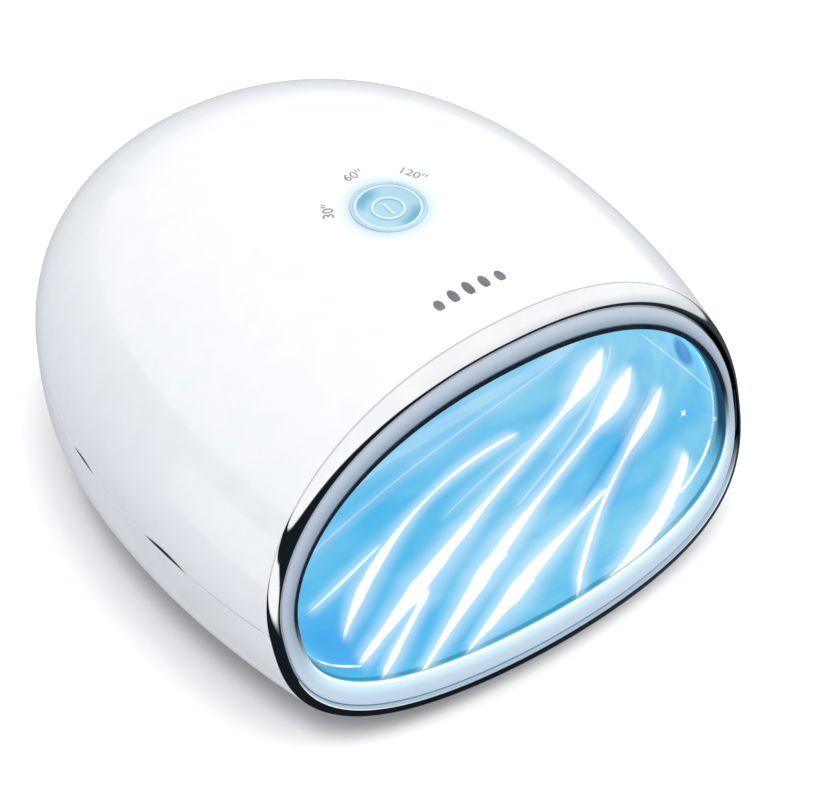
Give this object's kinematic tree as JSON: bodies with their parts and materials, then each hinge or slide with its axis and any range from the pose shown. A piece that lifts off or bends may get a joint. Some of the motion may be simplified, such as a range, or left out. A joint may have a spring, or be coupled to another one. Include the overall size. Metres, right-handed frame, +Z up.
{
  "type": "dome nail lamp",
  "caption": "Free-standing dome lamp with a wide front opening for a hand, a mirrored cavity with ultraviolet LEDs, a chrome front ring and one lit timer button on top.",
  "frame": {"origin": "on the table plane under the middle of the bounding box", "axes": "+Z up, +X to the right seen from the front, the opening faces -Y"},
  "size_m": [0.18, 0.2042, 0.1001],
  "materials": {
    "white_shell": "high gloss white moulded plastic",
    "chrome_band": "mirror chrome plating",
    "satin_ring": "satin chrome plating",
    "mirror_lining": "mirror-coated lining, slightly rippled",
    "screw_steel": "zinc plated",
    "circuit_board": "green solder mask",
    "emitter_lens": "clear domed silicone lens",
    "button_blue": "translucent spun-look cap",
    "clear_ring": "clear light-guide plastic",
    "frame_plastic": "moulded, fine texture",
    "black_plastic": "moulded, fine texture",
    "chip_black": "epoxy package",
    "coil_copper": "enamelled copper winding",
    "capacitor_sleeve": "shrink sleeve",
    "lamp_white": "diffusing package",
    "socket_ivory": "moulded nylon",
    "wire_jacket": "flexible insulation",
    "pin_brass": "nickel-flashed brass",
    "foot_rubber": "matte rubber"
  },
  "bodies": {
    "housing": {"top_shell": "white_shell", "bottom_shell": "white_shell", "front_bezel": "chrome_band", "face_ring": "satin_ring", "reflector_dome": "mirror_lining", "reflector_floor": "mirror_lining", "reflector_screws": "screw_steel", "roof_led_board": "circuit_board", "left_led_board": "circuit_board", "right_led_board": "circuit_board", "roof_leds": "emitter_lens", "left_leds": "emitter_lens", "right_leds": "emitter_lens", "roof_board_screws": "screw_steel", "side_board_screws": "screw_steel", "button_light_ring": "clear_ring", "button_holder": "frame_plastic", "button_holder_screws": "screw_steel", "tact_switch": "black_plastic", "control_board": "circuit_board", "control_board_screws": "screw_steel", "timer_chip": "chip_black", "driver_coil": "coil_copper", "smoothing_capacitors": "capacitor_sleeve", "indicator_leds": "lamp_white", "timer_light_pipes": "clear_ring", "wire_sockets": "socket_ivory", "power_wires": "wire_jacket", "led_wires": "wire_jacket", "power_inlet": "black_plastic", "inlet_pin": "pin_brass", "housing_screws": "screw_steel", "rubber_feet": "foot_rubber"},
    "button": {"button_cap": "button_blue"},
    "plunger": {"switch_plunger": "black_plastic"}
  },
  "joints": [
    {"name": "button_press", "type": "slide", "parent": "housing", "child": "button", "axis": [0, 0, -1], "range_m": [0, 0.0005], "stiffness_N_per_m": 1000, "springref_m": -0.001},
    {"name": "plunger_press", "type": "slide", "parent": "housing", "child": "plunger", "axis": [0, 0, -1], "range_m": [0, 0.0005], "stiffness_N_per_m": 500, "springref_m": -0.001}
  ],
  "couplings": [
    {"joint": "plunger_press", "follows": "button_press", "ratio": 1}
  ]
}
